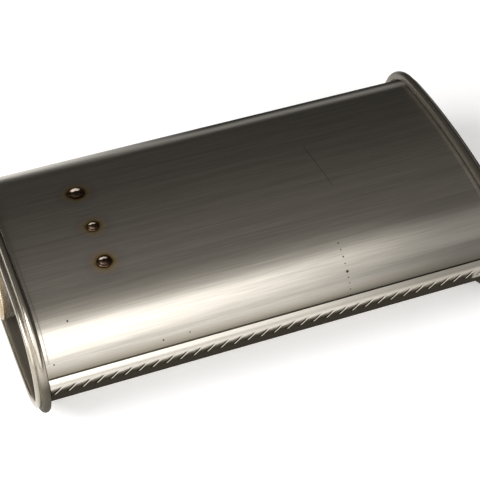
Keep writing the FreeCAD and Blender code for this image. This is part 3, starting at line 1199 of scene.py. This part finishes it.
# %% Dress every piece and every CAD solid
finishes = {
    shell_material: [shell],
    seam_material: [seam],
    cap_material: [cap, outlet_cap],
    pipe_material: [stub, outlet_stub],
    weld_material: [bead, outlet_bead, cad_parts["core_tack_welds"]],
    nugget_material: nugget_pieces,
    inner_material: [
        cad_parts["inlet_baffle"],
        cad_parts["outlet_baffle"],
        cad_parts["core_tube"],
    ],
    wool_material: [wool],
    fibre_material: [packing],
}
for material, pieces in finishes.items():
    for piece in pieces:
        dress(piece, material)
    print(material.name, "on", len(pieces), "pieces")

# %% [markdown]
# ## Floor, light and camera
#
# The studio is plain: a pale floor, one large soft light in front of the muffler,
# a strong one on the left that the brushed sides do not mirror, and a weak sky.
# The top of the body mirrors the dark back of the studio and the near side mirrors
# the soft light, as in the photograph. The sky is a gradient from a dark back over a
# dim ceiling to a bright front, because polished metal shows nothing but its
# surroundings. The floor glows a little, so that it stays as pale as the paper in
# the photograph.

# %% Floor
floor_glow = 0.29
bpy.ops.object.select_all(action="DESELECT")
bpy.ops.mesh.primitive_plane_add(size=30, location=(0, 0, cad_box[0][2]))
floor = bpy.context.object
floor.name = "floor"
floor_material, shader, start, place = new_finish("pale_floor")
speckle = noise(start, place, (40, 40, 40))
feed(shader, "Base Color", speckle.blend((0.88, 0.88, 0.88, 1), (0.92, 0.92, 0.92, 1)))
feed(shader, "Roughness", 0.95)
feed(shader, "Emission Color", (1, 1, 1, 1))
feed(shader, "Emission Strength", floor_glow)
dress(floor, floor_material)
print("floor at z =", round(cad_box[0][2] / MM, 1), "mm")


# %% Lights
def area_light(name, spot, target, side, radiance):
    """A square soft box of a given brightness, turned towards a point."""
    lamp = bpy.data.lights.new(name, "AREA")
    lamp.shape = "RECTANGLE"
    lamp.size = side
    lamp.size_y = side
    lamp.energy = radiance * math.pi * side * side
    light = bpy.data.objects.new(name, lamp)
    bpy.context.scene.collection.objects.link(light)
    light.location = spot
    aim = Vector(target) - Vector(spot)
    light.rotation_euler = aim.to_track_quat("-Z", "Y").to_euler()
    light.visible_camera = False
    print(name, "gives", round(lamp.energy, 1), "W")


area_light("front_box", (-0.4, -1.4, 1.05), (-0.1, 0, 0), side=1.7, radiance=1.65)
area_light("left_box", (-1.7, -0.3, 1.3), (0, 0, 0), side=1.2, radiance=9.0)

# %% Sky
world = bpy.data.worlds.new("studio")
world.use_nodes = True
sky = Shade(world.node_tree)
direction = sky.node("ShaderNodeTexCoord", output=0)
right = sky.node("ShaderNodeSeparateXYZ", {}, {0: direction}, output=0)
behind = sky.node("ShaderNodeSeparateXYZ", {}, {0: direction}, output=1)
sky_stops = [
    (0.1, (0.95, 0.93, 0.9)),
    (0.38, (0.75, 0.73, 0.7)),
    (0.46, (0.45, 0.435, 0.41)),
    (0.56, (0.33, 0.315, 0.295)),
    (0.7, (0.24, 0.23, 0.215)),
    (0.78, (0.14, 0.133, 0.122)),
    (0.84, (0.075, 0.071, 0.064)),
    (0.92, (0.03, 0.028, 0.025)),
]
glow = sky.node("ShaderNodeValToRGB", {"stops": sky_stops}, {0: behind * 0.5 + 0.5})
dimmed = 1 - right.fade(0.2, 0.45) * 0.75
world_light = world.node_tree.nodes["Background"]
feed(world_light, "Color", glow)
feed(world_light, "Strength", dimmed)
bpy.context.scene.world = world
bpy.context.scene.view_settings.view_transform = "Standard"
print("sky with", len(sky_stops), "colours from back to front")

# %% Camera
azimuth = math.radians(-20.49)
elevation = math.radians(44.77)
distance = 1.188
back = Vector(
    (
        math.sin(azimuth) * math.cos(elevation),
        -math.cos(azimuth) * math.cos(elevation),
        math.sin(elevation),
    )
)
camera_data = bpy.data.cameras.new("camera")
camera_data.lens = 113.4
camera_data.sensor_width = 36
camera_data.shift_x = 0.0153
camera_data.shift_y = -0.0202
camera = bpy.data.objects.new("camera", camera_data)
camera.location = back * distance
camera.rotation_euler = (-back).to_track_quat("-Z", "Y").to_euler()
bpy.context.scene.collection.objects.link(camera)
bpy.context.scene.camera = camera
print("camera at", [round(value, 3) for value in camera.location])

# %% [markdown]
# ## The CAD box
#
# The box of the CAD solids, taken when they were loaded, is printed last. The dressed
# muffler has to fit where the CAD model fits.

# %% Print the CAD box
print("CAD box", cad_box)
